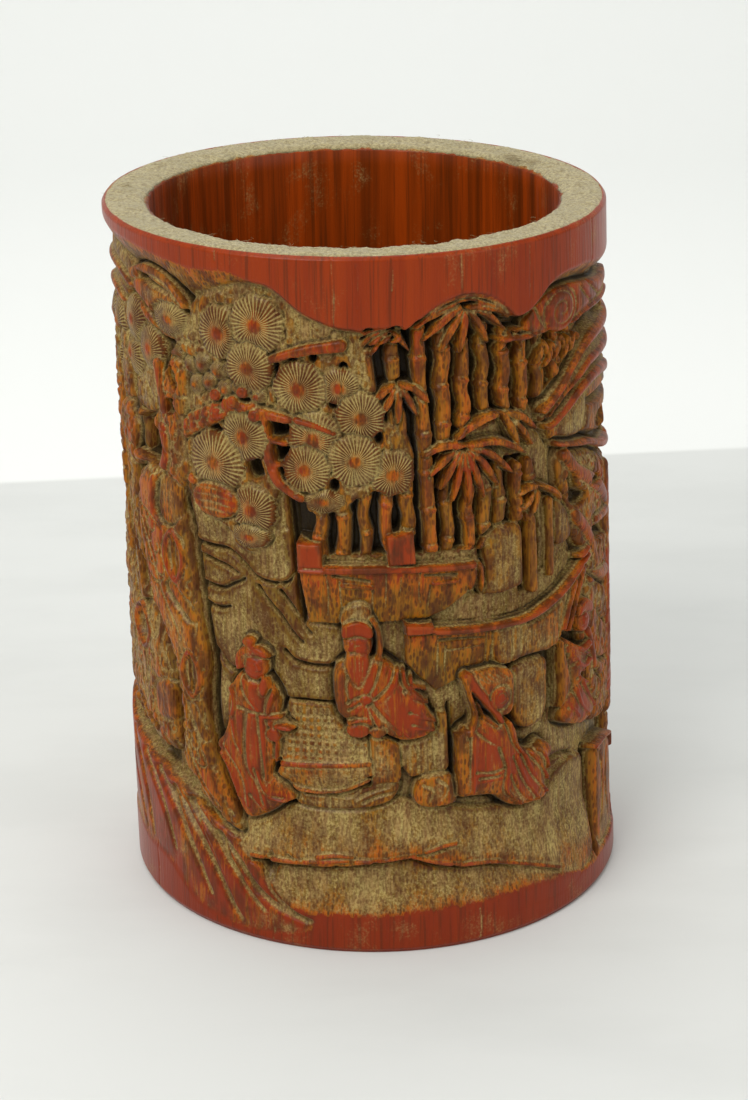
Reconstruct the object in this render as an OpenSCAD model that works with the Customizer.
// Carved bamboo brush pot: one leaning length of culm with a carved frieze,
// closed from beneath by a fitted disc that is pinned along its seam.

/* [Culm] */
// Height of the pot
pot_h = 172; // [150:1:190]
// Outer diameter at the rim
rim_d = 120; // [110:1:130]
// Outer diameter at the foot
foot_d = 123.6; // [112:0.2:134]
// Diameter of the well that holds the brushes
well_d = 98; // [90:1:100]
// How far the rim's centre stands to the left of the foot's centre
lean = 4.1; // [0:0.1:6]

/* [Frieze] */
// Height of the smooth band left at the foot
foot_band_h = 12; // [8:1:16]
// Height of the smooth band left below the rim
rim_band_h = 18; // [12:1:24]
// Depth of the carved ground below the culm's skin
ground_depth = 4; // [2:0.5:5]
// Radius of a pine's round crown of needles
crown_r = 6; // [4:0.5:8]
// Radius of a bamboo stem
stem_r = 2.2; // [1.6:0.1:3]
// Length of the bamboo stems that stand in front
stem_len = 38; // [20:1:60]

/* [Base] */
// Thickness of the fitted base disc
disc_t = 9; // [6:0.5:12]
// Height of the disc's underside above the foot
disc_rise = 3; // [1:0.5:5]
// Width of the shoulder that the disc's edge sits against
shoulder = 4; // [3:0.5:5]
// Diameter of a seam peg
peg_d = 3; // [2:0.5:4]
// Number of seam pegs
peg_count = 4; // [3:1:8]

/* [Hidden] */
$fn = 96;

skin_colour = [0.62, 0.24, 0.10];
disc_colour = [0.66, 0.50, 0.28];
peg_colour = [0.80, 0.68, 0.42];

eps = 0.01;
overrun = 10;
// how deep the foot of each kind of form is rooted in the ground, and how thick a panel is
crown_root = 1;
figure_root = 1;
panel_root = 2;
panel_t = 5;
trunk_r = 4;
// a head's radius as a share of the robe's width
head_share = 0.3;
disc_clearance = 0.05;
peg_clearance = 0.02;
rim_r = rim_d / 2;
foot_r = foot_d / 2;
well_r = well_d / 2;
disc_top = disc_rise + disc_t;
disc_seat_r = well_r + shoulder;
peg_len = disc_t - 1;
// the foot's centre, placed so that the whole pot is centred on the origin
foot_x = (lean + rim_r - foot_r) / 2;
tilt = atan(lean / pot_h);
taper = (rim_r - foot_r) / pot_h;

// Radius of the culm's skin and the place of its axis at height z
function skin_r(z) = foot_r + taper * z;
function axis_x(z) = foot_x - lean * z / pot_h;

// Stands its children on the leaning axis, measured from the foot
module on_axis() translate([foot_x, 0, 0]) rotate([0, -tilt, 0]) children();

// Places its children in the ground at an angle round the front and a height.
// Their +X runs to the right, +Y up the culm and +Z out of the wall.
module on_ground(angle, z, sink = 0)
    translate([axis_x(z), 0, z])
        rotate([90, 0, angle])
            translate([0, 0, skin_r(z) - ground_depth - sink])
                children();

// The whole slice of culm between its two sawn ends, before any carving
module culm_blank()
    intersection() {
        on_axis()
            translate([0, 0, -overrun])
                cylinder(h = pot_h + 2 * overrun, r1 = skin_r(-overrun), r2 = skin_r(pot_h + overrun));
        translate([-pot_h, -pot_h, 0]) cube([2 * pot_h, 2 * pot_h, pot_h]);
    }

// The ring cut away between the two bands, with sloping ends
module frieze_recess()
    on_axis()
        rotate_extrude()
            polygon([
                [skin_r(0) + overrun, foot_band_h - 2 * overrun / ground_depth],
                [skin_r(0), foot_band_h],
                [skin_r(0) - ground_depth, foot_band_h + 2 * ground_depth],
                [skin_r(pot_h) - ground_depth, pot_h - rim_band_h - ground_depth],
                [skin_r(pot_h), pot_h - rim_band_h],
                [skin_r(pot_h) + overrun, pot_h - rim_band_h + overrun],
            ]);

// Crown of needles: a low round boss
module pine_crown(angle, z, r = crown_r)
    on_ground(angle, z, sink = crown_root) cylinder(h = ground_depth, r = r);

// Straight stem lying in the ground and leaning by an angle
module stem(angle, z, length, r, leaning = 0)
    on_ground(angle, z) rotate([-90, 0, -leaning]) translate([0, 0, -length / 2]) cylinder(h = length, r = r);

// Flat panel standing out of the ground
module panel(angle, z, w, h, leaning = 0)
    on_ground(angle, z, sink = panel_root)
        rotate([0, 0, leaning]) translate([-w / 2, -h / 2, 0]) cube([w, h, panel_t]);

// Robed figure: a tapering robe under a round head
module figure(angle, z, h, w) {
    head_r = w * head_share;
    on_ground(angle, z, sink = figure_root) {
        rotate([-90, 0, 0]) cylinder(h = h - 2 * head_r, r1 = w / 2, r2 = w / 3);
        translate([0, h - head_r, figure_root]) sphere(head_r);
    }
}

module pines() {
    stem(-53, 72, 70, trunk_r, 18);
    stem(-60, 98, 40, 3.5, -8);
    for (a = [-55 : 12 : -19]) pine_crown(a, 144 - abs(a + 37) / 4);
    for (a = [-40 : 13 : 12]) pine_crown(a, 118 + 4 * cos(4 * a), crown_r - 1);
}

module bamboo_grove()
    for (a = [-12 : 9 : 60]) stem(a, 128 - a / 10, stem_len, stem_r);

module garden_wall() {
    panel(2, 98, 38, 20, -12);
    panel(36, 102, 34, 18, 14);
}

module scholars() {
    figure(-32, 44, 38, 15);
    figure(-3, 56, 36, 17);
    figure(30, 40, 40, 16);
    figure(56, 60, 34, 13);
}

module go_table() {
    panel(-12, 57, 24, 12);
    panel(-12, 44, 26, 10);
}

module rocks() {
    for (a = [64 : 9 : 82]) panel(a, 130, 6, 24, -20);
    for (a = [-68 : 9 : -50]) panel(a, 36, 6, 24, 20);
}

// The far side, in the same manner: cliffs, a pine and a grove
module far_side() {
    for (a = [96 : 9 : 132]) panel(a, 80, 7, 80, 12 * sin(10 * a));
    for (a = [150 : 7 : 206]) stem(a, 105, 1.8 * stem_len, stem_r - 0.6, 3 * sin(9 * a));
    stem(236, 75, 90, trunk_r, -12);
    for (a = [216 : 13 : 268]) pine_crown(a, 122 + 10 * sin(3 * a));
    for (a = [144 : 16 : 208]) panel(a, 42, 14, 12, 10);
}

module relief() {
    pines();
    bamboo_grove();
    garden_wall();
    scholars();
    go_table();
    rocks();
    far_side();
}

// Seam pegs' places: half in the wall, half in the disc
module at_pegs()
    for (i = [0 : peg_count - 1])
        translate([foot_x, 0, 0]) rotate([0, 0, (i + 0.5) * 360 / peg_count]) translate([disc_seat_r, 0, 0])
            children();

module peg_holes()
    at_pegs() translate([0, 0, -eps]) cylinder(h = disc_rise + peg_len + eps, d = peg_d);

module culm_wall()
    color(skin_colour)
        difference() {
            union() {
                difference() {
                    culm_blank();
                    frieze_recess();
                }
                intersection() {
                    culm_blank();
                    relief();
                }
            }
            on_axis() translate([0, 0, -overrun]) cylinder(h = pot_h + 2 * overrun, r = well_r);
            translate([foot_x, 0, -eps]) cylinder(h = disc_top + eps, r = disc_seat_r);
            peg_holes();
        }

module base_disc()
    color(disc_colour)
        difference() {
            translate([foot_x, 0, disc_rise]) cylinder(h = disc_t, r = disc_seat_r - disc_clearance);
            peg_holes();
        }

module base_pegs()
    color(peg_colour)
        at_pegs() translate([0, 0, disc_rise]) cylinder(h = peg_len, d = peg_d - peg_clearance);

culm_wall();
base_disc();
base_pegs();
